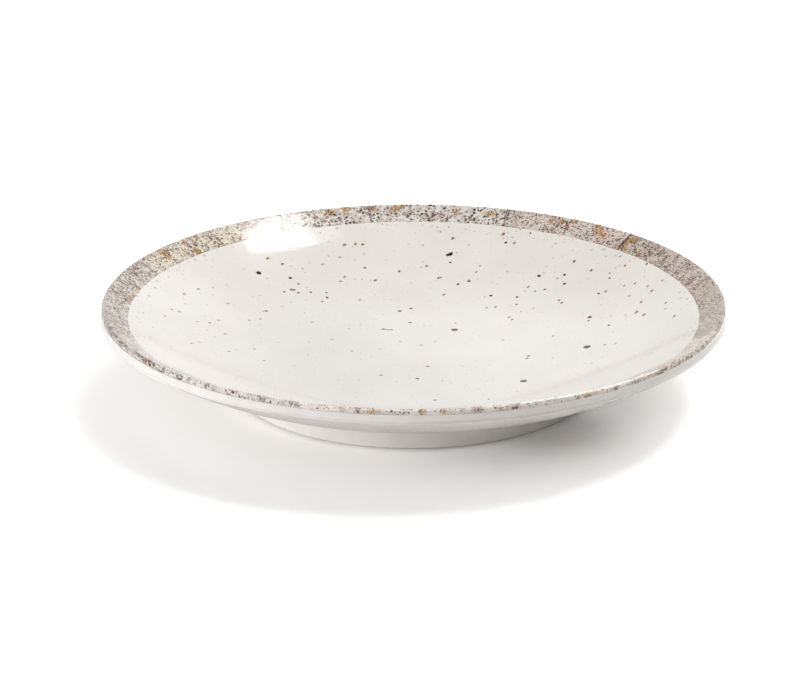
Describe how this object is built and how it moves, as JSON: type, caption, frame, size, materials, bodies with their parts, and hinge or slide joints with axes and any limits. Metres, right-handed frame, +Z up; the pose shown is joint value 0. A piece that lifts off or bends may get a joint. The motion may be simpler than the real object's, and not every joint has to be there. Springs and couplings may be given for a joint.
{
  "type": "coupe dinner plate",
  "caption": "Round coupe dinner plate with a deep smooth well, a rounded lip, a printed speckled top with a mottled rim band, and a plain white foot ring.",
  "frame": {"origin": "centre of the foot ring, on the plane that the plate stands on", "axes": "+Z up along the plate's axis, -Y towards the viewer of the picture, +X to the right"},
  "size_m": [0.2678, 0.2678, 0.0395],
  "materials": {
    "body": "white moulded melamine, polished by the mould",
    "field_foil": "cream print with brown and black specks",
    "rim_foil": "grey print with dense dark dots and rust and ochre patches",
    "clear_glaze": "clear gloss"
  },
  "bodies": {
    "root": {"body": "body", "field_foil": "field_foil", "rim_foil": "rim_foil", "clear_glaze": "clear_glaze"}
  },
  "joints": []
}
